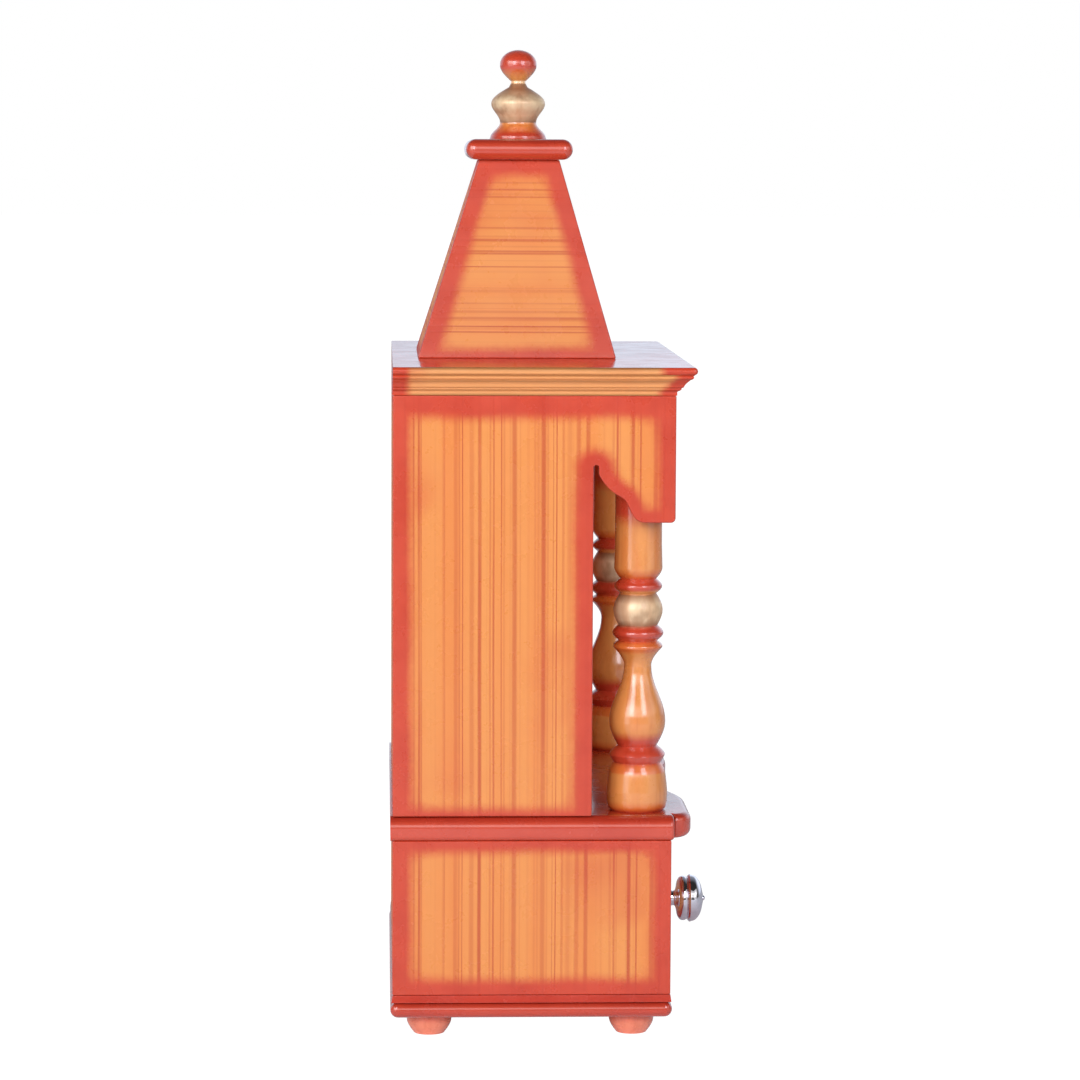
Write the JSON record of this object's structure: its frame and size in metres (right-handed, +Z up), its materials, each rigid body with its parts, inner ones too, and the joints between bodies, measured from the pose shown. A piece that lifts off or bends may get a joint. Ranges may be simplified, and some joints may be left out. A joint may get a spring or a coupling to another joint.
{
  "type": "wooden pooja mandir (household shrine) with drawer",
  "caption": "Lacquered wooden household shrine with an open arched chamber, turned pillars, crown cornice, pyramid tower with finial, and a base drawer on bun feet.",
  "frame": {"origin": "on the ground under the middle of the bounding box", "axes": "+Z up, -Y out of the open front and the drawer, +X to the right as seen from the front"},
  "size_m": [0.3364, 0.2078, 0.613],
  "materials": {
    "sunburst_panel": "gloss lacquer",
    "red_lacquer": "gloss lacquer",
    "crown_wood": "gloss lacquer",
    "turned_wood": "gloss lacquer",
    "plain_wood": "satin",
    "knob_chrome": "polished"
  },
  "bodies": {
    "shrine": {"foot_front_left": "red_lacquer", "foot_front_right": "red_lacquer", "foot_rear_left": "red_lacquer", "foot_rear_right": "red_lacquer", "base_board": "red_lacquer", "base_fillet": "red_lacquer", "box_side_left": "sunburst_panel", "box_side_right": "sunburst_panel", "box_back": "sunburst_panel", "box_rail": "sunburst_panel", "drawer_guide_left": "plain_wood", "drawer_guide_right": "plain_wood", "deck_board": "red_lacquer", "deck_edge_left": "red_lacquer", "deck_edge_right": "red_lacquer", "side_panel_left": "sunburst_panel", "side_panel_right": "sunburst_panel", "back_panel": "sunburst_panel", "front_arch": "sunburst_panel", "pillar_left": "turned_wood", "pillar_right": "turned_wood", "ceiling_board": "sunburst_panel", "crown_front": "crown_wood", "crown_left": "crown_wood", "crown_right": "crown_wood", "cornice_board": "red_lacquer", "tower_front": "sunburst_panel", "tower_back": "sunburst_panel", "tower_left": "sunburst_panel", "tower_right": "sunburst_panel", "tower_cap": "red_lacquer", "finial": "turned_wood"},
    "drawer": {"drawer_front": "sunburst_panel", "drawer_side_left": "plain_wood", "drawer_side_right": "plain_wood", "drawer_back": "plain_wood", "drawer_bottom": "plain_wood", "drawer_knob": "knob_chrome"}
  },
  "joints": [
    {"name": "drawer_slide", "type": "slide", "parent": "shrine", "child": "drawer", "axis": [0, -1, 0], "range_m": [0, 0.1]}
  ]
}
